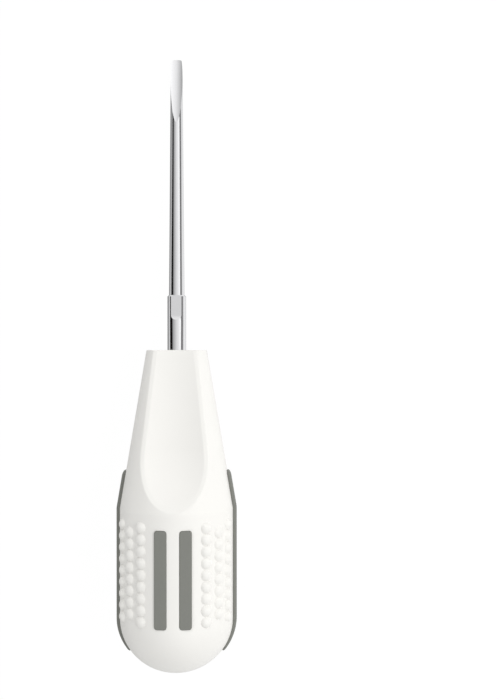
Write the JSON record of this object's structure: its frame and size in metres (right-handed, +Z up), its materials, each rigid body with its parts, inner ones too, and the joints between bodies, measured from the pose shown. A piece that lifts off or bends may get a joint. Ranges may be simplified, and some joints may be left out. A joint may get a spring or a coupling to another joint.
{
  "type": "periotome",
  "caption": "Slim straight steel periotome with a hollow-ground gouge tip, a flatted collar and a moulded grip handle with thumb scoops, round nubs and soft inlays.",
  "frame": {"origin": "on the table under the middle of the lying instrument's box", "axes": "+Y along the instrument from the handle to the blade, +X to the right across it, +Z up, with the front thumb scoop facing up and the blade dipping 6.5 degrees to the table"},
  "size_m": [0.0262, 0.1324, 0.0273],
  "materials": {
    "handle_plastic": "satin moulded plastic, warm white",
    "grip_rubber": "matt soft elastomer, mid grey",
    "blade_steel": "polished stainless steel"
  },
  "bodies": {
    "root": {"handle_body": "handle_plastic", "blade": "blade_steel", "front_inlay_left": "grip_rubber", "front_inlay_right": "grip_rubber", "back_inlay_left": "grip_rubber", "back_inlay_right": "grip_rubber", "side_strip_left": "grip_rubber", "side_strip_right": "grip_rubber"}
  },
  "joints": []
}
